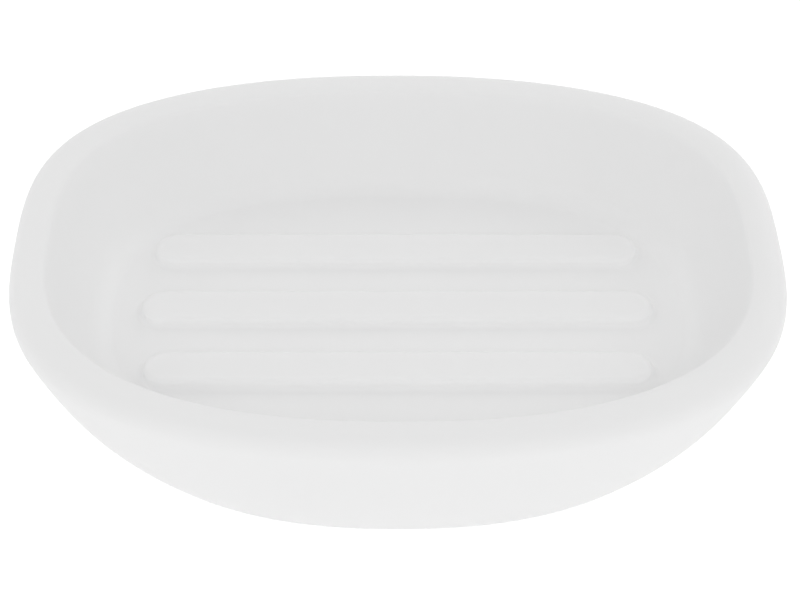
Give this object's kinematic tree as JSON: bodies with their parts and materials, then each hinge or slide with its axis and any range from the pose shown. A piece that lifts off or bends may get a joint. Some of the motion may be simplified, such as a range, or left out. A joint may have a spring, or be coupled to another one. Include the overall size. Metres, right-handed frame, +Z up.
{
  "type": "soap dish",
  "caption": "Oval soap dish with a thick crowned rim, a deep well with sloping walls, raised drying ribs on its floor and soft bumper pads in seats under its foot.",
  "frame": {"origin": "middle of the footprint, at the level of the surface that the dish stands on", "axes": "+X along the dish, +Y across it and away from the picture's viewer, +Z up"},
  "size_m": [0.14, 0.104, 0.0273],
  "materials": {
    "white_resin": "satin white cast resin, smooth, with a soft sheen and no sharp reflections",
    "clear_pad": "hazy translucent elastomer, smooth and slightly tacky",
    "adhesive": "clear pressure-sensitive adhesive film"
  },
  "bodies": {
    "root": {"dish": "white_resin", "pad_front_left": "clear_pad", "pad_front_right": "clear_pad", "pad_back_left": "clear_pad", "pad_back_right": "clear_pad", "adhesive_front_left": "adhesive", "adhesive_front_right": "adhesive", "adhesive_back_left": "adhesive", "adhesive_back_right": "adhesive"}
  },
  "joints": []
}
